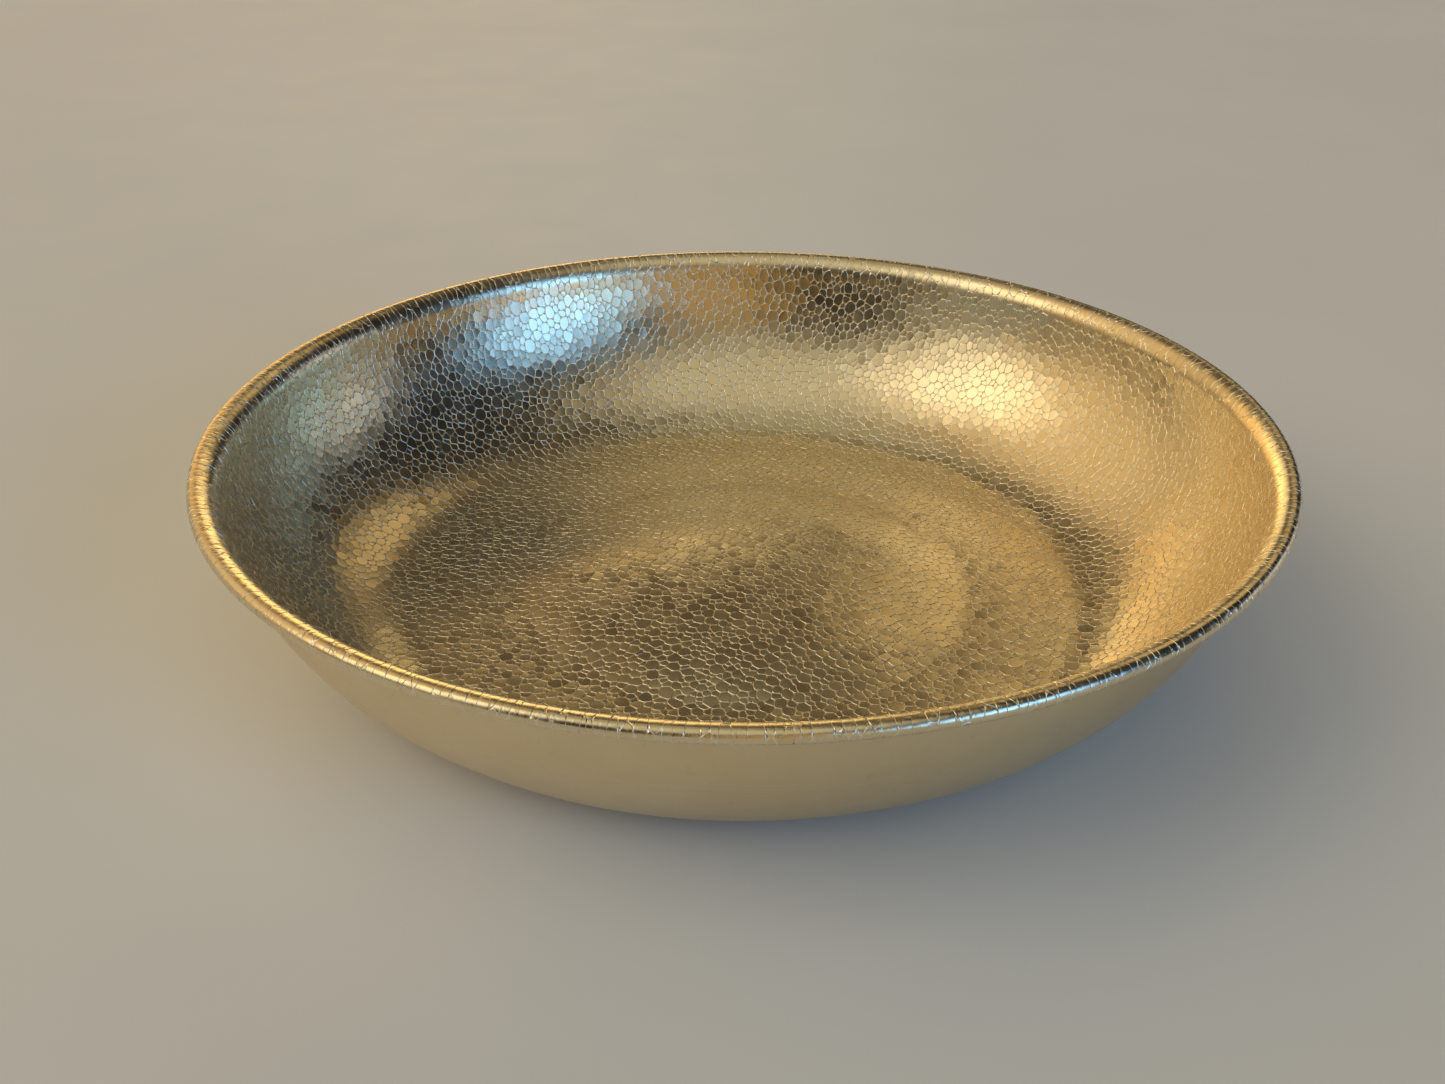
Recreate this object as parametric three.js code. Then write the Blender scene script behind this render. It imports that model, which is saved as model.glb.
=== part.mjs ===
// Wide shallow spun-metal bowl with a wired, outward-rolled rim.
// Millimetres, +Z up. Origin on the bowl's axis, in the plane of the flat
// ring that it stands on.
import * as THREE from "three";

// ---- driving dimensions -------------------------------------------------
const SHEET = 1.0;            // thickness of the metal sheet
const RIM_RADIUS = 178;       // outer edge of the rolled rim (356 mm across)
const HEIGHT = 66;            // top of the rim above the table
const CURL_RADIUS = 2.3;      // outside radius of the roll at the rim's edge
const CURL_END = -195;        // where the roll's raw edge stops, in degrees
const WIRE_DIAMETER = 1.9;    // stiffening wire inside the roll
const SHOULDER_RADIUS = 6.5;  // bend from the wall out to the rim
const WALL_LEAN = 9;          // lean of the wall below the rim, from vertical
const WALL_TOP_R = 169.0;     // inside radius where the shoulder starts
const WALL_HANDLE = 33;       // how far the wall keeps that lean
const FLOOR_R = 115.7;        // outer radius of the flat floor ring
const FLOOR_HANDLE = 23;      // how flat the wall leaves the floor
const KICK_R = 79;            // radius of the crease round the raised centre
const KICK_HEIGHT = 7.0;      // rise of the centre above the floor ring
const CREASE_R = 3;           // half width of the rounded crease
const SEGMENTS = 64;          // facets round the bowl

const rad = (deg) => (deg * Math.PI) / 180;

// ---- the sheet's upper face, from the centre to the raw edge ------------
// Each entry is a point and the direction in which the path runs there.
function upperFace() {
  const path = [];
  const add = (r, z, dr, dz) => {
    const n = Math.hypot(dr, dz);
    path.push({ r, z, dr: dr / n, dz: dz / n });
  };
  // raised centre: a shallow cap that ends in a rounded crease
  const capEdge = KICK_R - CREASE_R;
  const capRadius = (KICK_R * KICK_R + KICK_HEIGHT * KICK_HEIGHT) / (2 * KICK_HEIGHT);
  const capZ = (r) => SHEET + KICK_HEIGHT - (capRadius - Math.sqrt(capRadius ** 2 - r * r));
  for (let i = 0; i <= 4; i++) {
    const r = (capEdge * i) / 4;
    add(r, capZ(r), Math.sqrt(capRadius ** 2 - r * r), -r);
  }
  const capSlope = capEdge / Math.sqrt(capRadius ** 2 - capEdge ** 2);
  add(KICK_R, SHEET + (capZ(capEdge) - SHEET) * 0.27, 1, -capSlope / 2);
  add(KICK_R + CREASE_R, SHEET, 1, 0);
  // flat ring, then the wall as one cubic curve
  const p0 = [FLOOR_R, SHEET];
  const p1 = [FLOOR_R + FLOOR_HANDLE, SHEET];
  const topZ = HEIGHT - SHOULDER_RADIUS * Math.cos(rad(WALL_LEAN));
  const p3 = [WALL_TOP_R, topZ];
  const p2 = [
    p3[0] - WALL_HANDLE * Math.sin(rad(WALL_LEAN)),
    p3[1] - WALL_HANDLE * Math.cos(rad(WALL_LEAN)),
  ];
  const steps = 7;
  for (let i = 0; i <= steps; i++) {
    const t = i / steps, s = 1 - t;
    const at = (k) => s * s * s * p0[k] + 3 * s * s * t * p1[k] + 3 * s * t * t * p2[k] + t * t * t * p3[k];
    const slope = (k) => s * s * (p1[k] - p0[k]) + 2 * s * t * (p2[k] - p1[k]) + t * t * (p3[k] - p2[k]);
    add(at(0), at(1), slope(0), slope(1));
  }
  // shoulder: turns from the wall's lean to level
  const cx = p3[0] + SHOULDER_RADIUS * Math.cos(rad(WALL_LEAN));
  const cz = p3[1] - SHOULDER_RADIUS * Math.sin(rad(WALL_LEAN));
  const lift = HEIGHT - (cz + SHOULDER_RADIUS);
  const bends = 3;
  for (let i = 1; i <= bends; i++) {
    const a = 180 - WALL_LEAN + ((90 - (180 - WALL_LEAN)) * i) / bends;
    add(cx + SHOULDER_RADIUS * Math.cos(rad(a)), cz + lift * (i / bends) + SHOULDER_RADIUS * Math.sin(rad(a)),
      Math.sin(rad(a)), -Math.cos(rad(a)));
  }
  // roll round the wire
  const rollR = RIM_RADIUS - CURL_RADIUS;
  const rollZ = HEIGHT - CURL_RADIUS;
  const turns = 10;
  for (let i = 0; i <= turns; i++) {
    const a = 90 + ((CURL_END - 90) * i) / turns;
    add(rollR + CURL_RADIUS * Math.cos(rad(a)), rollZ + CURL_RADIUS * Math.sin(rad(a)),
      Math.sin(rad(a)), -Math.cos(rad(a)));
  }
  return path;
}

function sheetProfile() {
  const upper = upperFace();
  const top = upper.map((p) => new THREE.Vector2(p.r, p.z));
  // the lower face lies one sheet thickness to the right of the path
  const under = upper.map((p) => new THREE.Vector2(p.r + SHEET * p.dz, p.z - SHEET * p.dr));
  top[0].x = 0;
  under[0].x = 0;
  return [...under, ...top.reverse()];
}

function revolve(profile, closed) {
  const points = closed ? [...profile, profile[0].clone()] : profile;
  const geometry = new THREE.LatheGeometry(points, SEGMENTS);
  geometry.rotateX(Math.PI / 2);
  return geometry;
}

// ---- pieces -------------------------------------------------------------
const brass = new THREE.MeshStandardMaterial({ name: "brass_satin", color: 0xc9a76a, roughness: 0.34, metalness: 1.0 });
const steel = new THREE.MeshStandardMaterial({ name: "steel_wire", color: 0x8f9196, roughness: 0.45, metalness: 1.0 });

const bowl = new THREE.Mesh(revolve(sheetProfile(), false), brass);
bowl.name = "bowl_shell";

const wireProfile = [];
const wireSides = 8;
for (let i = 0; i < wireSides; i++) {
  const a = (2 * Math.PI * (i + 0.5)) / wireSides;
  wireProfile.push(new THREE.Vector2(
    RIM_RADIUS - CURL_RADIUS + (WIRE_DIAMETER / 2) * Math.cos(a),
    (WIRE_DIAMETER / 2) * Math.sin(a),
  ));
}
const wire = new THREE.Mesh(revolve(wireProfile, true), steel);
wire.name = "rim_wire";
wire.position.z = HEIGHT - CURL_RADIUS;

const group = new THREE.Group();
group.name = "wired_rim_bowl";
group.add(bowl, wire);

export default group;
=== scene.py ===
import math
import random

import bpy
import numpy as np
from mathutils import Matrix, Vector


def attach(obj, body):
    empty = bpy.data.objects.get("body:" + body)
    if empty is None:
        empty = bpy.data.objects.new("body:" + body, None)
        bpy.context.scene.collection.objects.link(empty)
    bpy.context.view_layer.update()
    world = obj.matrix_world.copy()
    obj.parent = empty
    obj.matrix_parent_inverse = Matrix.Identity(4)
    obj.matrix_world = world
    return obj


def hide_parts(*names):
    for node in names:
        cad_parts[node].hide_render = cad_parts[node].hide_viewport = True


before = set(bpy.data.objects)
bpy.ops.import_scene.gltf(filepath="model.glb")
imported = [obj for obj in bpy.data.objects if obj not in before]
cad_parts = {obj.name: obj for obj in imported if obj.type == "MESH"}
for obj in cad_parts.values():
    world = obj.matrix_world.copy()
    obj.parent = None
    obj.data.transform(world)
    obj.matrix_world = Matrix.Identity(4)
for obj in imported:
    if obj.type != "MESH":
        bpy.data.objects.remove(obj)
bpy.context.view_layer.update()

# Lengths below are millimetres until the meshes are written, in metres.

# ---- the bowl's profile, as in the CAD model --------------------------------
SHEET = 1.0
RIM_RADIUS = 178.0
HEIGHT = 66.0
CURL_RADIUS = 2.3
CURL_END = -195.0
WIRE_DIAMETER = 1.9
SHOULDER_RADIUS = 6.5
WALL_LEAN = math.radians(9.0)
WALL_TOP_R = 169.0
WALL_HANDLE = 33.0
FLOOR_R = 115.7
FLOOR_HANDLE = 23.0
KICK_R = 79.0
KICK_HEIGHT = 7.0
CREASE_R = 3.0

# ---- the embossing ----------------------------------------------------------
SEED = 5
EMBOSS_END = -52.0        # how far round the roll the pattern reaches, degrees
GROOVE_DEPTH = 0.23
GROOVE_HALF = 0.170       # from the middle of a groove to the pebble's edge
CROWN = 0.045
SEGMENTS = 320
# radius of a pebble's disc, throws, most kept
PEBBLES = [(2.25, 30000, 900), (1.95, 34000, 1900), (1.62, 46000, 2300),
           (1.32, 60000, 2700), (1.02, 100000, 4200), (0.74, 100000, 4600)]


def upper_skin():
    """The sheet's upper face from the centre to the raw edge: r, z of a fine polyline, and where each part starts."""
    r, z = [], []
    cap_edge = KICK_R - CREASE_R
    cap_radius = (KICK_R ** 2 + KICK_HEIGHT ** 2) / (2 * KICK_HEIGHT)
    for a in np.linspace(0.0, cap_edge, 160):
        r.append(a); z.append(SHEET + KICK_HEIGHT - (cap_radius - math.sqrt(cap_radius ** 2 - a * a)))
    slope = cap_edge / math.sqrt(cap_radius ** 2 - cap_edge ** 2)
    z_edge = z[-1]
    r_ctrl = cap_edge + (z_edge - SHEET) / slope
    for u in np.linspace(0.0, 1.0, 24)[1:]:
        r.append((1 - u) ** 2 * cap_edge + 2 * u * (1 - u) * r_ctrl + u * u * (KICK_R + CREASE_R))
        z.append((1 - u) ** 2 * z_edge + 2 * u * (1 - u) * SHEET + u * u * SHEET)
    for a in np.linspace(KICK_R + CREASE_R, FLOOR_R, 40)[1:]:
        r.append(a); z.append(SHEET)
    top_z = HEIGHT - SHOULDER_RADIUS * math.cos(WALL_LEAN)
    p0, p1 = np.array([FLOOR_R, SHEET]), np.array([FLOOR_R + FLOOR_HANDLE, SHEET])
    p3 = np.array([WALL_TOP_R, top_z])
    p2 = p3 - WALL_HANDLE * np.array([math.sin(WALL_LEAN), math.cos(WALL_LEAN)])
    for t in np.linspace(0.0, 1.0, 200)[1:]:
        s = 1 - t
        p = s ** 3 * p0 + 3 * s * s * t * p1 + 3 * s * t * t * p2 + t ** 3 * p3
        r.append(p[0]); z.append(p[1])
    cx = p3[0] + SHOULDER_RADIUS * math.cos(WALL_LEAN)
    cz = p3[1] - SHOULDER_RADIUS * math.sin(WALL_LEAN)
    lift = HEIGHT - (cz + SHOULDER_RADIUS)
    start = math.pi - WALL_LEAN
    for u in np.linspace(0.0, 1.0, 60)[1:]:
        a = start + (math.pi / 2 - start) * u
        r.append(cx + SHOULDER_RADIUS * math.cos(a))
        z.append(cz + lift * u * u * (3 - 2 * u) + SHOULDER_RADIUS * math.sin(a))
    marks = {}
    for a in np.linspace(90.0, CURL_END, 286):
        r.append(RIM_RADIUS - CURL_RADIUS + CURL_RADIUS * math.cos(math.radians(a)))
        z.append(HEIGHT - CURL_RADIUS + CURL_RADIUS * math.sin(math.radians(a)))
        marks[round(a)] = len(r) - 1
    return np.array(r), np.array(z), marks


R_, Z_, MARKS = upper_skin()
S_ = np.concatenate([[0.0], np.cumsum(np.hypot(np.diff(R_), np.diff(Z_)))])
TR, TZ = np.gradient(R_, S_), np.gradient(Z_, S_)
LEN = np.hypot(TR, TZ)
NR, NZ = -TZ / LEN, TR / LEN
# the flat blank that the sheet was pressed from keeps its area: b is its radius there.
# Over the rim the sheet was stretched, which draws the pebbles out across the roll.
END_INDEX = MARKS[round(EMBOSS_END)]
RIM_S = float(np.interp(WALL_TOP_R, R_[:MARKS[90]], S_[:MARKS[90]]))
DRAWN = np.interp(S_, [RIM_S - 3.0, RIM_S + 5.0], [1.0, 0.42])
_mid = (DRAWN[1:] + DRAWN[:-1]) / 2
B_ = np.sqrt(np.concatenate([[0.0], np.cumsum((R_[1:] + R_[:-1]) * np.diff(S_) * _mid)]))
B_END = float(B_[END_INDEX])

_rng = random.Random(SEED + 1)
WAVES = []
for _ in range(9):
    length = _rng.uniform(34.0, 90.0)
    turn = _rng.uniform(0, math.tau)
    WAVES.append((math.cos(turn) * math.tau / length, math.sin(turn) * math.tau / length,
                  _rng.uniform(0, math.tau), 0.00045 * length))


def place(x, y, h):
    """Blank coordinates and height above the sheet's upper face to the pressed bowl, in mm."""
    b = np.hypot(x, y)
    r, z = np.interp(b, B_, R_), np.interp(b, B_, Z_)
    nr, nz = np.interp(b, B_, NR), np.interp(b, B_, NZ)
    k = np.hypot(nr, nz)
    nr, nz = nr / k, nz / k
    wave = np.zeros_like(b)
    for kx, ky, phase, size in WAVES:
        wave += size * np.sin(kx * x + ky * y + phase)
    # the sheet is stiff at its rim and flat where it stands
    fade = np.clip((B_END - 16.0 - b) / 30.0, 0, 1) * np.clip(b / 10.0, 0, 1)
    stand = np.clip((24.0 - np.abs(b - 99.0)) / 8.0, 0, 1)
    h = h + wave * fade * (1 - stand)
    safe = np.maximum(b, 1e-9)
    q = (r + h * nr) / safe
    return np.stack([np.where(b > 1e-6, q * x, 0.0), np.where(b > 1e-6, q * y, 0.0), z + h * nz], axis=-1)


# ---- pebbles: discs thrown on the blank, then the cells between them ----------
def throw_discs(radius):
    rng = random.Random(SEED)
    size, biggest = 3.0, 2.9
    grid, xs, ys, rs = {}, [], [], []
    for rad, throws, most in PEBBLES:
        kept = 0
        for _ in range(throws):
            x, y = rng.uniform(-radius, radius), rng.uniform(-radius, radius)
            if x * x + y * y > radius * radius:
                continue
            r = rad * rng.uniform(0.88, 1.12)
            reach = r + biggest
            ok = True
            for a in range(int((x - reach) // size), int((x + reach) // size) + 1):
                for b in range(int((y - reach) // size), int((y + reach) // size) + 1):
                    for i in grid.get((a, b), ()):
                        dx, dy, q = xs[i] - x, ys[i] - y, (rs[i] + r) * 0.97
                        if dx * dx + dy * dy < q * q:
                            ok = False
                            break
                    if not ok:
                        break
                if not ok:
                    break
            if ok:
                grid.setdefault((int(x // size), int(y // size)), []).append(len(xs))
                xs.append(x); ys.append(y); rs.append(r)
                kept += 1
                if kept >= most:
                    break
    return xs, ys, rs, grid, size


def clip(poly, lab, a, b, c, j):
    s = [a * p[0] + b * p[1] - c for p in poly]
    if max(s) <= 0:
        return poly, lab, False
    out, names = [], []
    n = len(poly)
    for k in range(n):
        s0, k1 = s[k], (k + 1) % n
        s1 = s[k1]
        if s0 <= 0:
            out.append(poly[k]); names.append(lab[k])
            if s1 > 0:
                t = s0 / (s0 - s1)
                p, q = poly[k], poly[k1]
                out.append((p[0] + t * (q[0] - p[0]), p[1] + t * (q[1] - p[1]))); names.append(j)
        elif s1 <= 0:
            t = s0 / (s0 - s1)
            p, q = poly[k], poly[k1]
            out.append((p[0] + t * (q[0] - p[0]), p[1] + t * (q[1] - p[1]))); names.append(lab[k])
    return out, names, True


def cells_between(xs, ys, rs, grid, size, limit, chords):
    """The power cell of each disc, cut off by a regular polygon round the edge. Each corner is named by the sites that meet there."""
    found = []
    step = math.tau / chords
    apothem = limit * math.cos(step / 2)
    for i in range(len(xs)):
        x0, y0, w0 = xs[i], ys[i], rs[i] * rs[i]
        d0 = math.hypot(x0, y0)
        h = 7.0
        poly, lab = [(-h, -h), (h, -h), (h, h), (-h, h)], [-1, -2, -3, -4]
        near = []
        gx, gy = int(x0 // size), int(y0 // size)
        for a in range(gx - 3, gx + 4):
            for b in range(gy - 3, gy + 4):
                for j in grid.get((a, b), ()):
                    if j != i:
                        dx, dy = xs[j] - x0, ys[j] - y0
                        q = dx * dx + dy * dy
                        if q < 90.0:
                            near.append((0.5 * (q + w0 - rs[j] * rs[j]) / math.sqrt(q), dx, dy, q, j))
        near.sort()
        far = 2 * h * h
        for dist, dx, dy, q, j in near:
            if dist > 0 and dist * dist > far:
                break
            poly, lab, cut = clip(poly, lab, dx, dy, 0.5 * (q + w0 - rs[j] * rs[j]), j)
            if cut:
                if len(poly) < 3:
                    break
                far = max(p[0] * p[0] + p[1] * p[1] for p in poly)
        if len(poly) < 3:
            continue
        if d0 + math.sqrt(far) > apothem - 0.01:
            middle = int(math.floor(math.atan2(y0, x0) / step))
            span = int(7.5 / (limit * step)) + 2
            for k in range(middle - span, middle + span + 1):
                m = (k + 0.5) * step
                nx, ny = math.cos(m), math.sin(m)
                poly, lab, cut = clip(poly, lab, nx, ny, apothem - (x0 * nx + y0 * ny), -100 - (k % chords))
                if len(poly) < 3:
                    break
            if len(poly) < 3:
                continue
        found.append((i, [(p[0] + x0, p[1] + y0) for p in poly], lab))
    return found


def pebble_mesh():
    """Blank coordinates, heights and triangles of the embossed face, with a region, relief and tone for each."""
    rng = random.Random(SEED + 2)
    xs, ys, rs, grid, size = throw_discs(B_END + 4.0)
    cells = cells_between(xs, ys, rs, grid, size, B_END, SEGMENTS)
    corner_id, points = {}, []
    rings = []
    for i, poly, lab in cells:
        ids = []
        n = len(poly)
        for k in range(n):
            key = tuple(sorted((i, lab[k - 1], lab[k])))
            if key not in corner_id:
                corner_id[key] = len(points)
                points.append(poly[k])
            ids.append(corner_id[key])
        rings.append(ids)
    # corners closer than a hair are one corner
    parent = list(range(len(points)))

    def root(a):
        while parent[a] != a:
            parent[a] = parent[parent[a]]
            a = parent[a]
        return a
    limit = B_END * math.cos(math.pi / SEGMENTS) - 1e-4
    outer = [math.hypot(*p) > limit for p in points]
    for ids in rings:
        for k in range(len(ids)):
            a, b = ids[k - 1], ids[k]
            pa, pb = points[a], points[b]
            if (pa[0] - pb[0]) ** 2 + (pa[1] - pb[1]) ** 2 < 0.05 ** 2:
                ra, rb = root(a), root(b)
                if ra != rb:
                    if outer[rb] and not outer[ra]:
                        ra, rb = rb, ra
                    parent[rb] = ra
    B_RIM = float(np.interp(RIM_S, S_, B_))

    def depth(p):
        rim = min(1.0, max(0.0, (math.hypot(*p) - B_RIM) / 3.0))
        # here and there a groove fades out and two pebbles run together, on the rim more often
        faded = rng.random() < 0.14 + 0.26 * rim
        deep = rng.uniform(0.2, 0.45) * (1 - 0.5 * rim) if faded else rng.uniform(0.75, 1.15)
        return -GROOVE_DEPTH * deep * (1 - 0.25 * rim)

    P = [(p[0], p[1], depth(p), 0.0) for p in points]
    T, region, tone = [], [], []
    for ids in rings:
        ring = []
        for a in ids:
            a = root(a)
            if not ring or ring[-1] != a:
                ring.append(a)
        if len(ring) > 1 and ring[0] == ring[-1]:
            ring.pop()
        n = len(ring)
        if n < 3:
            continue
        area = per = cx = cy = 0.0
        for k in range(n):
            x0, y0 = points[ring[k - 1]]
            x1, y1 = points[ring[k]]
            cross = x0 * y1 - x1 * y0
            area += cross
            cx += (x0 + x1) * cross
            cy += (y0 + y1) * cross
            per += math.hypot(x1 - x0, y1 - y0)
        cx, cy, area = cx / (3 * area), cy / (3 * area), area / 2
        on_rim = min(1.0, max(0.0, (math.hypot(cx, cy) - B_RIM) / 3.0))
        f = min(0.42, GROOVE_HALF * rng.uniform(0.85, 1.2) * (1 - 0.35 * on_rim) / (2 * area / per))
        flat = 1 - 0.7 * on_rim
        tx, ty = rng.gauss(0, 0.016) * flat, rng.gauss(0, 0.016) * flat
        rise = (rng.gauss(0, 0.012) - (0.03 if area < 3.2 else 0.0)) * flat
        shade = rng.random()
        inner = [(cx + (points[a][0] - cx) * (1 - f), cy + (points[a][1] - cy) * (1 - f)) for a in ring]
        top = []
        base = len(P)
        for k in range(n):
            x, y = inner[k]
            xa, ya = inner[k - 1]
            xb, yb = inner[(k + 1) % n]
            for px, py in ((x + 0.27 * (xa - x), y + 0.27 * (ya - y)), (x + 0.27 * (xb - x), y + 0.27 * (yb - y))):
                P.append((px, py, rise + tx * (px - cx) + ty * (py - cy), 1.0))
        top = [base + k for k in range(2 * n)]
        middle = len(P)
        P.append((cx, cy, rise + min(CROWN, 0.016 * math.sqrt(area)), 1.0))
        for k in range(n):
            g0, g1 = ring[k], ring[(k + 1) % n]
            a0, b0, a1 = top[2 * k], top[2 * k + 1], top[(2 * k + 2) % (2 * n)]
            T += [(g0, b0, a0), (g0, g1, b0), (g1, a1, b0), (a0, b0, middle), (b0, a1, middle)]
            region += [0, 0, 0, 1, 1]
            tone += [shade] * 5
    return np.array(P), np.array(T, dtype=np.int64), np.array(region), np.array(tone)


def refine(P, T, region, tone, tolerance, rounds):
    """Splits edges that leave the bowl's curve by more than the tolerance, keeping the mesh whole."""
    for _ in range(rounds):
        n = len(P)
        pairs = np.concatenate([T[:, [0, 1]], T[:, [1, 2]], T[:, [2, 0]]])
        pairs.sort(axis=1)
        key, back = np.unique(pairs[:, 0] * n + pairs[:, 1], return_inverse=True)
        a, b = key // n, key % n
        mid = (P[a] + P[b]) / 2
        pa, pb, pm = (place(q[:, 0], q[:, 1], q[:, 2]) for q in (P[a], P[b], mid))
        cut = np.linalg.norm(pm - (pa + pb) / 2, axis=1) > tolerance
        if not cut.any():
            break
        number = np.full(len(key), -1, dtype=np.int64)
        number[cut] = n + np.arange(cut.sum())
        P = np.concatenate([P, mid[cut]])
        m = number[back].reshape(3, -1).T          # new corner on sides 01, 12, 20
        out, reg, ton = [], [], []
        which = (m >= 0).astype(int) @ np.array([1, 2, 4])
        for pattern in range(8):
            pick = which == pattern
            if not pick.any():
                continue
            t, q = T[pick], m[pick]
            v0, v1, v2 = t.T
            m0, m1, m2 = q.T
            if pattern == 0:
                made = [(v0, v1, v2)]
            elif pattern == 7:
                made = [(v0, m0, m2), (m0, v1, m1), (m2, m1, v2), (m0, m1, m2)]
            elif pattern == 1:
                made = [(v0, m0, v2), (m0, v1, v2)]
            elif pattern == 2:
                made = [(v1, m1, v0), (m1, v2, v0)]
            elif pattern == 4:
                made = [(v2, m2, v1), (m2, v0, v1)]
            elif pattern == 3:
                made = [(m0, v1, m1), (v0, m0, m1), (v0, m1, v2)]
            elif pattern == 6:
                made = [(m1, v2, m2), (v1, m1, m2), (v1, m2, v0)]
            else:
                made = [(m2, v0, m0), (v2, m2, m0), (v2, m0, v1)]
            for tri in made:
                out.append(np.stack(tri, axis=1))
                reg.append(region[pick])
                ton.append(tone[pick])
        T, region, tone = np.concatenate(out), np.concatenate(reg), np.concatenate(ton)
    return P, T, region, tone


def shell_mesh():
    P, T, region, tone = refine(*pebble_mesh(), tolerance=0.045, rounds=3)
    xyz = place(P[:, 0], P[:, 1], P[:, 2])
    # the pattern's open edge, in order round the roll
    n = len(P)
    pairs = np.concatenate([T[:, [0, 1]], T[:, [1, 2]], T[:, [2, 0]]])
    order = np.sort(pairs, axis=1)
    key, first, count = np.unique(order[:, 0] * n + order[:, 1], return_index=True, return_counts=True)
    if (count > 2).any():
        raise RuntimeError("embossed face isn't one sheet")
    rim = np.unique(pairs[first[count == 1]])
    rim = rim[np.argsort(np.arctan2(P[rim, 1], P[rim, 0]))]
    rim_angle = np.arctan2(P[rim, 1], P[rim, 0])

    verts, tris, regs, tones = [xyz], [T], [region], [tone]
    relief = [P[:, 3]]
    along = [np.interp(np.hypot(P[:, 0], P[:, 1]), B_, S_)]
    uv = [P[:, :2] / B_END * 0.41 + 0.425]
    count_v = n
    angles = -math.pi + (np.arange(SEGMENTS) + 0.5) * math.tau / SEGMENTS
    cos, sin = np.cos(angles), np.sin(angles)
    under_scale = 0.15 / 215.0

    def ring(r, z, u, s):
        nonlocal count_v
        verts.append(np.stack([r * cos, r * sin, np.full(SEGMENTS, z)], axis=1))
        relief.append(np.ones(SEGMENTS))
        along.append(np.full(SEGMENTS, s))
        uv.append(np.stack([0.84 + u * cos, 0.84 + u * sin], axis=1))
        ids = count_v + np.arange(SEGMENTS)
        count_v += SEGMENTS
        return ids

    def band(lower, upper, reg):        # from one ring to the next along the path
        nxt = np.roll(np.arange(SEGMENTS), -1)
        tris.append(np.concatenate([np.stack([lower, upper, upper[nxt]], axis=1),
                                    np.stack([lower, upper[nxt], lower[nxt]], axis=1)]))
        regs.append(np.full(2 * SEGMENTS, reg))
        tones.append(np.full(2 * SEGMENTS, 0.5))

    # rest of the roll's outer face
    curl = [i for i in range(END_INDEX, len(R_)) if i == len(R_) - 1 or (i - END_INDEX) % 9 == 0]
    if curl[-1] - curl[-2] < 4:
        curl.pop(-2)
    curl = curl[1:]
    rings = []
    for i in curl:
        rings.append(ring(R_[i], Z_[i], 0.1545 - (i - END_INDEX) * 1e-6, S_[i]))
    # the open edge of the pattern meets the first ring
    first_ring = rings[0]
    i = j = 0
    K, M = len(rim), SEGMENTS
    zip_tris = []
    ring_angle = angles
    while i < K or j < M:
        a_next = rim_angle[i + 1] if i + 1 < K else rim_angle[0] + math.tau
        b_next = ring_angle[j + 1] if j + 1 < M else ring_angle[0] + math.tau
        if j >= M or (i < K and a_next <= b_next):
            zip_tris.append((rim[(i + 1) % K], rim[i % K], first_ring[j % M]))
            i += 1
        else:
            zip_tris.append((rim[i % K], first_ring[j % M], first_ring[(j + 1) % M]))
            j += 1
    tris.append(np.array(zip_tris))
    regs.append(np.full(len(zip_tris), 2))
    tones.append(np.full(len(zip_tris), 0.5))
    for a, b in zip(rings, rings[1:]):
        band(a, b, 2)
    # the cut edge, with its corners just broken
    i = len(R_) - 1
    nr, nz = NR[i], NZ[i]
    tr, tz = TR[i], TZ[i]
    last = rings[-1]
    for d, out in ((0.12, 0.06), (0.5, 0.09), (0.88, 0.06)):
        now = ring(R_[i] - d * SHEET * nr + out * tr, Z_[i] - d * SHEET * nz + out * tz, 0.1545, S_[i])
        band(last, now, 3)
        last = now
    # the lower face, back to the centre
    now = ring(R_[i] - SHEET * nr, Z_[i] - SHEET * nz, 0.1545, S_[i])
    band(last, now, 3)
    last = now
    stops = [i]
    spacing = lambda k: 0.55 if k > MARKS[90] else (1.2 if R_[k] > WALL_TOP_R else (3.2 if R_[k] > FLOOR_R else (4.5 if R_[k] > 84 or R_[k] < 70 else 1.2)))
    for k in range(i, -1, -1):
        if S_[stops[-1]] - S_[k] >= spacing(k):
            stops.append(k)
    stops = [k for k in stops[1:] if R_[k] > 2.0]
    for k in stops:
        if k <= END_INDEX:
            p = place(B_[k] * cos, B_[k] * sin, np.full(SEGMENTS, -SHEET))
            verts.append(p)
            relief.append(np.ones(SEGMENTS))
            along.append(np.full(SEGMENTS, S_[k]))
            u = B_[k] * under_scale
            uv.append(np.stack([0.84 + u * cos, 0.84 + u * sin], axis=1))
            now = count_v + np.arange(SEGMENTS)
            count_v += SEGMENTS
        else:
            now = ring(R_[k] - SHEET * NR[k], Z_[k] - SHEET * NZ[k], min(0.1543, B_[k] * under_scale), S_[k])
        band(last, now, 2)
        last = now
    verts.append(np.array([[0.0, 0.0, Z_[0] - SHEET]]))
    relief.append(np.ones(1))
    along.append(np.zeros(1))
    uv.append(np.array([[0.84, 0.84]]))
    nxt = np.roll(np.arange(SEGMENTS), -1)
    tris.append(np.stack([last, np.full(SEGMENTS, count_v), last[nxt]], axis=1))
    regs.append(np.full(SEGMENTS, 2)); tones.append(np.full(SEGMENTS, 0.5))
    return (np.concatenate(verts), np.concatenate(tris), np.concatenate(regs),
            np.concatenate(tones), np.concatenate(relief), np.concatenate(uv), np.concatenate(along))


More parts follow.
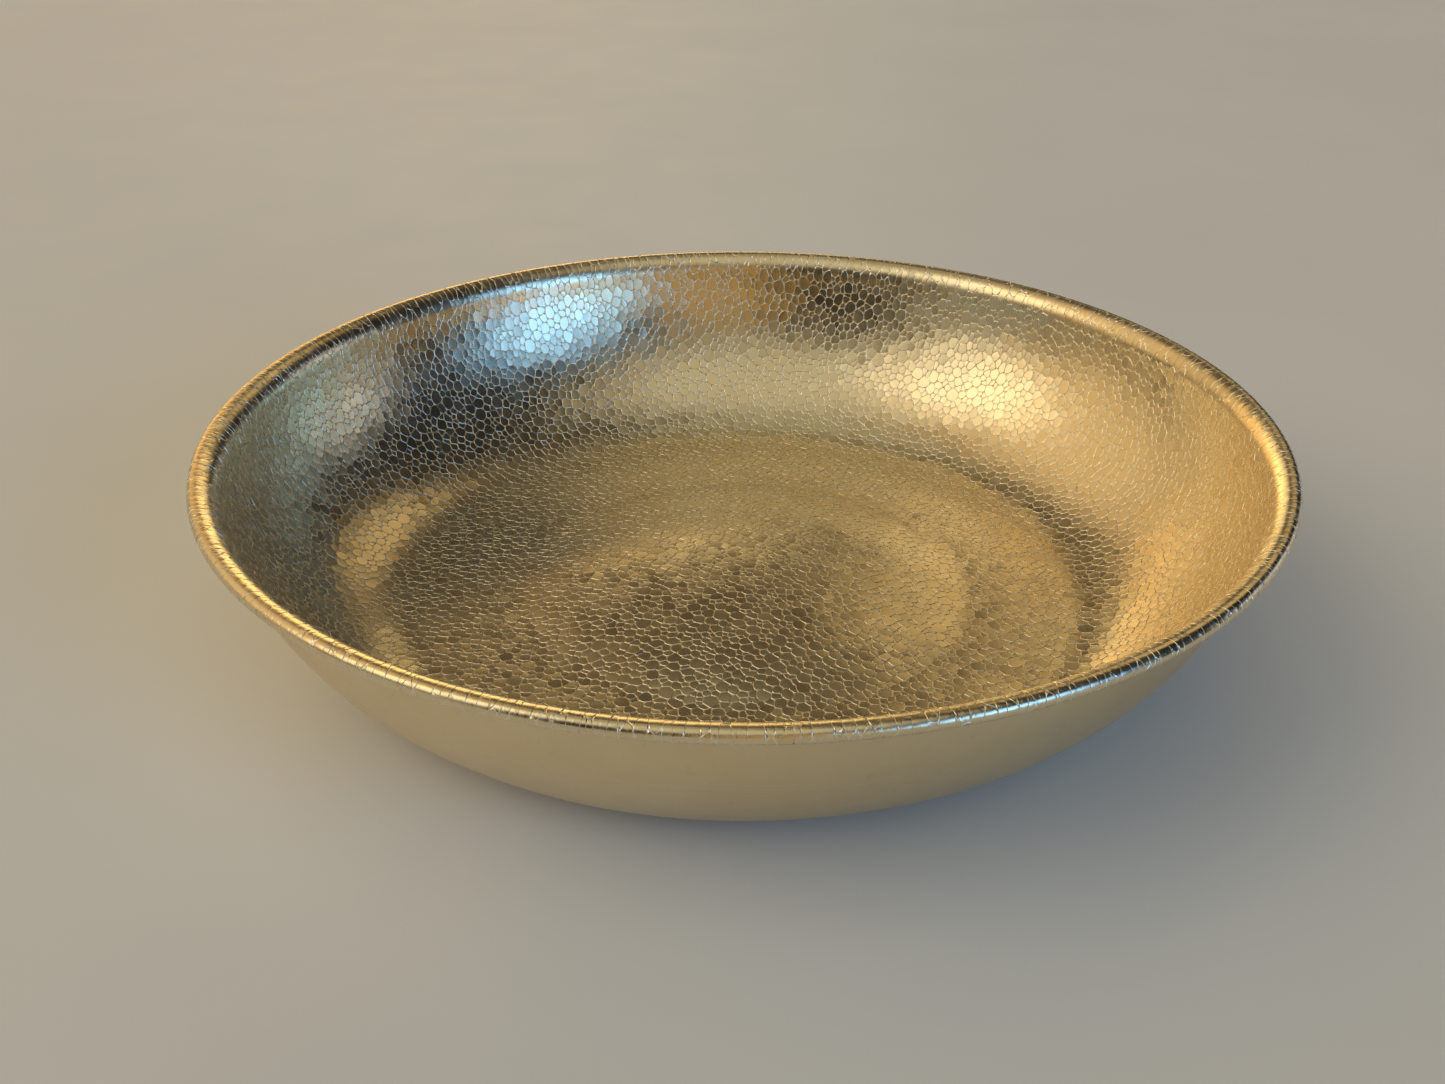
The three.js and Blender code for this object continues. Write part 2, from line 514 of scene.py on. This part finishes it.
# ---- BLENDER ----------------------------------------------------------------
class Nodes:
    """A small helper that adds nodes to a tree and links them."""

    def __init__(self, tree):
        self.tree = tree
        tree.nodes.clear()

    def add(self, kind, **settings):
        node = self.tree.nodes.new(kind)
        inputs = settings.pop("inputs", {})
        for k, v in settings.items():
            setattr(node, k, v)
        for k, v in inputs.items():
            self.feed(node.inputs[k], v)
        return node

    def feed(self, socket, value):
        if isinstance(value, bpy.types.NodeSocket):
            self.tree.links.new(value, socket)
        elif isinstance(value, bpy.types.Node):
            self.tree.links.new(value.outputs[0], socket)
        else:
            socket.default_value = value

    def math(self, op, a, b=0.0, c=0.0, clamp=False):
        node = self.add("ShaderNodeMath", operation=op, use_clamp=clamp)
        for s, v in zip(node.inputs, (a, b, c)):
            self.feed(s, v)
        return node.outputs[0]

    def vec(self, op, a, b=(0, 0, 0), scale=None):
        node = self.add("ShaderNodeVectorMath", operation=op)
        self.feed(node.inputs[0], a)
        if op == "SCALE":
            self.feed(node.inputs["Scale"], scale)
        elif op != "LENGTH":
            self.feed(node.inputs[1], b)
        return node.outputs["Value"] if op in ("LENGTH", "DOT_PRODUCT") else node.outputs[0]

    def noise(self, vector, scale, detail=2.0, roughness=0.5, dims="3D", distortion=0.0):
        node = self.add("ShaderNodeTexNoise", noise_dimensions=dims)
        if vector is not None:
            self.feed(node.inputs["W" if dims == "1D" else "Vector"], vector)
        node.inputs["Scale"].default_value = scale
        node.inputs["Detail"].default_value = detail
        node.inputs["Roughness"].default_value = roughness
        node.inputs["Distortion"].default_value = distortion
        return node.outputs[0]

    def span(self, value, lo, hi, to_lo, to_hi, smooth=True):
        node = self.add("ShaderNodeMapRange", interpolation_type="SMOOTHSTEP" if smooth else "LINEAR")
        for k, v in (("Value", value), ("From Min", lo), ("From Max", hi), ("To Min", to_lo), ("To Max", to_hi)):
            self.feed(node.inputs[k], v)
        return node.outputs[0]

    def mix(self, factor, a, b, blend="MIX"):
        node = self.add("ShaderNodeMix", data_type="RGBA", blend_type=blend)
        self.feed(node.inputs[0], factor)
        self.feed(node.inputs[6], a)
        self.feed(node.inputs[7], b)
        return node.outputs[2]

    def attribute(self, name):
        return self.add("ShaderNodeAttribute", attribute_type="GEOMETRY", attribute_name=name).outputs["Fac"]

    def bump(self, height, distance, strength=1.0, normal=None):
        node = self.add("ShaderNodeBump")
        node.inputs["Strength"].default_value = strength
        node.inputs["Distance"].default_value = distance
        self.feed(node.inputs["Height"], height)
        if normal is not None:
            self.feed(node.inputs["Normal"], normal)
        return node.outputs[0]


def new_material(name):
    mat = bpy.data.materials.new(name)
    mat.use_nodes = True
    return mat, Nodes(mat.node_tree)


def finish_material(n, colour, roughness, normal, metallic=1.0, **more):
    bsdf = n.add("ShaderNodeBsdfPrincipled")
    n.feed(bsdf.inputs["Base Color"], colour)
    n.feed(bsdf.inputs["Metallic"], metallic)
    n.feed(bsdf.inputs["Roughness"], roughness)
    if normal is not None:
        n.feed(bsdf.inputs["Normal"], normal)
    for k, v in more.items():
        n.feed(bsdf.inputs[k.replace("_", " ")], v)
    out = n.add("ShaderNodeOutputMaterial")
    n.tree.links.new(bsdf.outputs[0], out.inputs[0])
    return bsdf


GOLD = (0.79, 0.66, 0.42, 1.0)
GOLD_WARM = (0.73, 0.57, 0.33, 1.0)
GOLD_PALE = (0.90, 0.82, 0.65, 1.0)
GOLD_DULL = (0.52, 0.41, 0.26, 1.0)


# place on the floor, direction in degrees, half length and half width, all in mm
SCUFFS = [(-48.6, -65.7, 20, 2.2, 0.35), (-53.4, -65.7, -35, 1.5, 0.30), (-42.1, -67.5, 60, 1.2, 0.30),
          (45.4, -46.2, -25, 1.6, 0.30), (47.3, -43.3, 15, 2.0, 0.28), (53.5, -47.6, 70, 1.0, 0.28),
          (63.0, -38.0, 40, 1.4, 0.30), (-8.0, 31.0, -50, 1.3, 0.25), (21.0, 88.0, 10, 1.6, 0.25)]


def in_mm(n):
    """Place on the object, in millimetres."""
    return n.vec("SCALE", n.add("ShaderNodeTexCoord").outputs["Object"], scale=1000.0)


def embossed_brass():
    mat, n = new_material("brass_embossed")
    at = in_mm(n)
    relief = n.attribute("relief")
    tone = n.attribute("tone")
    cloud = n.noise(at, 0.017, 3.0, 0.55)
    grain = n.noise(at, 1.7, 3.0, 0.6)
    colour = n.mix(n.span(cloud, 0.35, 0.65, 0.0, 0.55), GOLD, GOLD_WARM)
    colour = n.mix(n.math("MULTIPLY", tone, 0.22), colour, GOLD_PALE)
    colour = n.mix(n.span(grain, 0.62, 0.80, 0.0, 0.18), colour, GOLD_DULL)
    # painted highlight and painted shade: the sides of the grooves are painted paler and made more matt than the
    # pebble tops, and the groove bottoms are painted darker
    groove_sides_highlight = n.span(relief, 0.90, 0.999, 1.0, 0.0)
    groove_bottom_shade = n.span(relief, 0.02, 0.28, 1.0, 0.0)
    # painted highlight: the groove sides are painted paler than the pebble tops
    colour = n.mix(n.math("MULTIPLY", groove_sides_highlight, 0.9), colour, GOLD_PALE)
    # painted shade: the groove bottoms are painted darker
    colour = n.mix(n.math("MULTIPLY", groove_bottom_shade, 0.45), colour, GOLD_DULL)
    rough = n.math("ADD", n.span(n.noise(at, 0.09, 4.0, 0.6), 0.3, 0.7, 0.19, 0.26), n.math("MULTIPLY", tone, 0.05))
    rough = n.math("ADD", rough, n.math("MULTIPLY", groove_sides_highlight, 0.07))
    # a few short scuffs on the floor, where things were set down in it
    scuffs = 0.0
    for x, y, turn, long, wide in SCUFFS:
        here = n.vec("SUBTRACT", at, (x, y, 0.0))
        c, d = math.cos(math.radians(turn)), math.sin(math.radians(turn))
        u = n.math("DIVIDE", n.vec("DOT_PRODUCT", here, (c, d, 0.0)), long)
        v = n.math("DIVIDE", n.vec("DOT_PRODUCT", here, (-d, c, 0.0)), wide)
        off = n.math("ADD", n.math("POWER", u, 2.0), n.math("POWER", v, 2.0))
        scuffs = n.math("MAXIMUM", n.math("EXPONENT", n.math("MULTIPLY", off, -1.0)), scuffs)
    scuffs = n.math("MULTIPLY", scuffs, n.span(n.noise(at, 2.5, 3.0, 0.7), 0.38, 0.58, 0.0, 1.0))
    scuffs = n.math("MULTIPLY", scuffs, n.span(n.vec("DOT_PRODUCT", at, (0.0, 0.0, 1.0)), 11.0, 13.0, 1.0, 0.0))
    colour = n.mix(n.math("MULTIPLY", scuffs, 0.8), colour, (0.92, 0.88, 0.80, 1.0))
    rough = n.math("ADD", rough, n.math("MULTIPLY", scuffs, 0.30))
    fine = n.noise(at, 5.0, 3.0, 0.65)
    normal = n.bump(fine, 0.000010, 0.5)
    normal = n.bump(n.noise(at, 0.75, 2.0, 0.5), 0.00006, 0.35, normal)
    finish_material(n, colour, rough, normal)
    return mat


def satin_brass():
    mat, n = new_material("brass_satin_outside")
    at = in_mm(n)
    along = n.attribute("along")
    cloud = n.noise(at, 0.02, 4.0, 0.6)
    colour = n.mix(n.span(cloud, 0.3, 0.7, 0.0, 0.6), GOLD, GOLD_WARM)
    # faint rings left by the spinning tool
    wander = n.math("MULTIPLY", n.noise(at, 0.012, 2.0, 0.5), 6.0)
    lines = n.noise(n.math("ADD", along, wander), 1.6, 4.0, 0.75, dims="1D")
    broad = n.noise(n.math("ADD", along, wander), 0.22, 2.0, 0.5, dims="1D")
    blotch = n.noise(at, 0.28, 3.0, 0.6)
    colour = n.mix(n.span(lines, 0.5, 0.75, 0.0, 0.4), colour, GOLD_PALE)
    colour = n.mix(n.span(blotch, 0.6, 0.8, 0.0, 0.25), colour, GOLD_DULL)
    rough = n.span(n.noise(at, 0.06, 4.0, 0.6), 0.3, 0.7, 0.30, 0.40)
    rough = n.math("ADD", rough, n.span(lines, 0.3, 0.7, -0.04, 0.07))
    normal = n.bump(lines, 0.000020, 0.6)
    normal = n.bump(broad, 0.00014, 0.30, normal)
    normal = n.bump(n.noise(at, 3.0, 3.0, 0.6), 0.00002, 0.4, normal)
    tangent = n.add("ShaderNodeTangent", direction_type="RADIAL", axis="Z")
    finish_material(n, colour, rough, normal, Anisotropic=0.35, Tangent=tangent.outputs[0])
    return mat


def cut_edge():
    mat, n = new_material("brass_cut_edge")
    at = in_mm(n)
    burr = n.noise(at, 2.2, 4.0, 0.7)
    colour = n.mix(n.span(burr, 0.4, 0.7, 0.0, 0.6), GOLD_PALE, GOLD)
    rough = n.span(burr, 0.3, 0.7, 0.28, 0.48)
    finish_material(n, colour, rough, n.bump(burr, 0.00008, 0.6))
    return mat


def drawn_steel():
    mat, n = new_material("steel_drawn")
    at = in_mm(n)
    along = n.attribute("along")
    lines = n.noise(along, 9.0, 3.0, 0.7, dims="1D")
    spots = n.noise(at, 0.5, 4.0, 0.7)
    colour = n.mix(n.span(spots, 0.5, 0.75, 0.0, 0.6), (0.50, 0.51, 0.53, 1), (0.27, 0.22, 0.19, 1))
    rough = n.span(spots, 0.4, 0.7, 0.36, 0.62)
    normal = n.bump(lines, 0.00002, 0.6)
    normal = n.bump(spots, 0.00003, 0.4, normal)
    finish_material(n, colour, rough, normal)
    return mat


def floor_material():
    mat, n = new_material("floor_pale")
    at = in_mm(n)
    colour = n.mix(n.span(n.noise(at, 0.004, 3.0, 0.5), 0.3, 0.7, 0.0, 1.0), (0.82, 0.84, 0.86, 1), (0.85, 0.87, 0.89, 1))
    finish_material(n, colour, n.span(n.noise(at, 0.02, 2.0, 0.5), 0.3, 0.7, 0.55, 0.62), None, metallic=0.0)
    return mat


def write_mesh(name, verts, tris, material_index, materials, sharp_between=None, attributes=(), uv=None):
    me = bpy.data.meshes.new(name)
    nt = len(tris)
    me.vertices.add(len(verts))
    me.vertices.foreach_set("co", (np.asarray(verts) / 1000.0).astype(np.float32).ravel())
    me.loops.add(3 * nt)
    me.loops.foreach_set("vertex_index", np.asarray(tris, dtype=np.int32).ravel())
    me.polygons.add(nt)
    me.polygons.foreach_set("loop_start", np.arange(0, 3 * nt, 3, dtype=np.int32))
    for m in materials:
        me.materials.append(m)
    me.polygons.foreach_set("material_index", np.asarray(material_index, dtype=np.int32))
    me.update(calc_edges=True)
    me.shade_smooth()
    if sharp_between is not None:
        ev = np.empty(2 * len(me.edges), dtype=np.int32)
        me.edges.foreach_get("vertices", ev)
        ev = np.sort(ev.reshape(-1, 2).astype(np.int64), axis=1)
        n = len(verts)
        t = np.asarray(tris, dtype=np.int64)
        pairs = np.sort(np.concatenate([t[:, [0, 1]], t[:, [1, 2]], t[:, [2, 0]]]), axis=1)
        code = pairs[:, 0] * n + pairs[:, 1]
        flag = np.tile(sharp_between, 3)
        order = np.argsort(code, kind="stable")
        code, flag = code[order], flag[order]
        differs = flag[0::2] != flag[1::2]
        edge_code = ev[:, 0] * n + ev[:, 1]
        sharp = differs[np.searchsorted(code[0::2], edge_code)]
        me.attributes.new("sharp_edge", "BOOLEAN", "EDGE").data.foreach_set("value", sharp)
    for label, domain, values in attributes:
        me.attributes.new(label, "FLOAT", domain).data.foreach_set("value", np.asarray(values, dtype=np.float32))
    if uv is not None:
        layer = me.uv_layers.new(name="OFBake")
        layer.uv.foreach_set("vector", np.asarray(uv)[np.asarray(tris).ravel()].astype(np.float32).ravel())
    me.validate()
    obj = bpy.data.objects.new(name, me)
    bpy.context.scene.collection.objects.link(obj)
    return obj


def make_shell():
    verts, tris, region, tone, relief, uv, along = shell_mesh()
    index = np.array([0, 0, 1, 2])[region]
    return write_mesh("bowl", verts, tris, index, [embossed_brass(), satin_brass(), cut_edge()],
                      sharp_between=region, uv=uv,
                      attributes=[("relief", "POINT", relief), ("along", "POINT", along), ("tone", "FACE", tone)])


def make_wire():
    """The stiffening wire: a drawn round wire bent to a ring, its two ends meeting in a fine butt joint."""
    around, sides = 480, 20
    ring_r, ring_z, wire_r = RIM_RADIUS - CURL_RADIUS, HEIGHT - CURL_RADIUS, WIRE_DIAMETER / 2
    angle = np.arange(around) * math.tau / around
    phi = np.arange(sides) * math.tau / sides
    # the wire is pinched a little where its ends are butted
    pinch = 1 - 0.10 * np.exp(-((np.abs(((angle + math.pi) % math.tau) - math.pi) / 0.006) ** 2))
    radius = wire_r * pinch[:, None] * np.ones(sides)
    r = ring_r + radius * np.cos(phi)
    verts = np.stack([r * np.cos(angle)[:, None], r * np.sin(angle)[:, None],
                      ring_z + radius * np.sin(phi)], axis=-1).reshape(-1, 3)
    i, j = np.meshgrid(np.arange(around), np.arange(sides), indexing="ij")
    a = (i * sides + j).ravel()
    b = (((i + 1) % around) * sides + j).ravel()
    c = (((i + 1) % around) * sides + (j + 1) % sides).ravel()
    d = (i * sides + (j + 1) % sides).ravel()
    tris = np.concatenate([np.stack([a, b, c], axis=1), np.stack([a, c, d], axis=1)])
    u = 0.005 + 0.99 * np.repeat(np.arange(around), sides) / around
    v = 0.005 + 0.99 * np.tile(np.arange(sides), around) / sides
    along = np.tile(phi * wire_r, around)
    return write_mesh("rim_wire_ring", verts, tris, np.zeros(len(tris)), [drawn_steel()],
                      uv=np.stack([u, v], axis=1), attributes=[("along", "POINT", along)])


def make_floor():
    me = bpy.data.meshes.new("floor")
    s = 40.0
    me.from_pydata([(-s, -s, 0), (s, -s, 0), (s, s, 0), (-s, s, 0)], [], [(0, 1, 2, 3)])
    me.materials.append(floor_material())
    obj = bpy.data.objects.new("floor", me)
    obj.location = (0, 0, -0.0004)
    bpy.context.scene.collection.objects.link(obj)
    return obj


# Soft lights a long way off: azimuth from +X anticlockwise, elevation, the radius that is fully lit and the one
# where the light has faded out, all in degrees, and linear colour.
LIGHTS = [
    ("key_left", 198, 40, 7, 28, (1.20, 1.12, 0.90)),
    ("wide_left", 160, 32, 12, 46, (0.80, 0.58, 0.30)),
    ("low_back", 110, 6, 8, 24, (1.40, 0.85, 0.29)),
    ("low_back_gold", 94, 14, 5, 16, (1.35, 1.05, 0.52)),
    ("right_back", 65, 34, 4, 15, (0.66, 0.50, 0.24)),
    ("high_back", 100, 68, 4, 15, (0.34, 0.34, 0.24)),
    ("back_dim", 88, 42, 10, 40, (0.066, 0.048, 0.026)),
    ("window_right", 322, 18, 6, 21, (0.72, 1.60, 3.20)),
    ("window_low", 307, 3, 6, 19, (0.60, 1.10, 1.80)),
    ("overhead", 262, 68, 14, 42, (0.58, 0.54, 0.41)),
    ("low_left", 212, 12, 6, 22, (0.26, 0.24, 0.19)),
    ("front", 277, 15, 8, 24, (0.44, 0.29, 0.10)),
    ("low_right", 23, 5, 6, 18, (0.70, 0.76, 0.88)),
]
FILL = (0.018, 0.018, 0.022)
BACKDROP = (0.50, 0.49, 0.47)


def make_lights():
    """A studio of soft-edged lights in front of a plain pale backdrop."""
    world = bpy.data.worlds.new("studio")
    bpy.context.scene.world = world
    world.use_nodes = True
    n = Nodes(world.node_tree)
    way = n.add("ShaderNodeTexCoord").outputs["Generated"]
    total = FILL
    for name, azimuth, elevation, lit_to, dark_from, colour in LIGHTS:
        a, e = math.radians(azimuth), math.radians(elevation)
        towards = (math.cos(a) * math.cos(e), math.sin(a) * math.cos(e), math.sin(e))
        glow = n.span(n.vec("DOT_PRODUCT", way, towards), math.cos(math.radians(dark_from)),
                      math.cos(math.radians(lit_to)), 0.0, 1.0)
        total = n.vec("ADD", n.vec("SCALE", colour, scale=glow), total)
    lit = n.add("ShaderNodeBackground", inputs={"Color": total, "Strength": 1.0})
    plain = n.add("ShaderNodeBackground", inputs={"Color": (*BACKDROP, 1.0), "Strength": 1.0})
    both = n.add("ShaderNodeMixShader")
    n.feed(both.inputs[0], n.add("ShaderNodeLightPath").outputs["Is Camera Ray"])
    n.feed(both.inputs[1], lit)
    n.feed(both.inputs[2], plain)
    out = n.add("ShaderNodeOutputWorld")
    n.tree.links.new(both.outputs[0], out.inputs[0])
    bpy.context.scene.view_settings.view_transform = "Standard"


def make_camera():
    data = bpy.data.cameras.new("camera")
    data.sensor_fit = "HORIZONTAL"
    data.sensor_width = 36.0
    data.lens = 36.12
    data.clip_start, data.clip_end = 0.02, 40.0
    data.dof.use_dof = False
    obj = bpy.data.objects.new("camera", data)
    obj.location = (-0.00639, -0.44620, 0.26500)
    obj.rotation_mode = "XYZ"
    obj.rotation_euler = (math.radians(90.0 - 29.06), math.radians(0.06), 0.0)
    bpy.context.scene.collection.objects.link(obj)
    bpy.context.scene.camera = obj
    return obj


make_camera()
make_lights()
make_floor()

bowl = make_shell()
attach(bowl, "root")
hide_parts("bowl_shell")

wire = make_wire()
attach(wire, "root")
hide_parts("rim_wire")
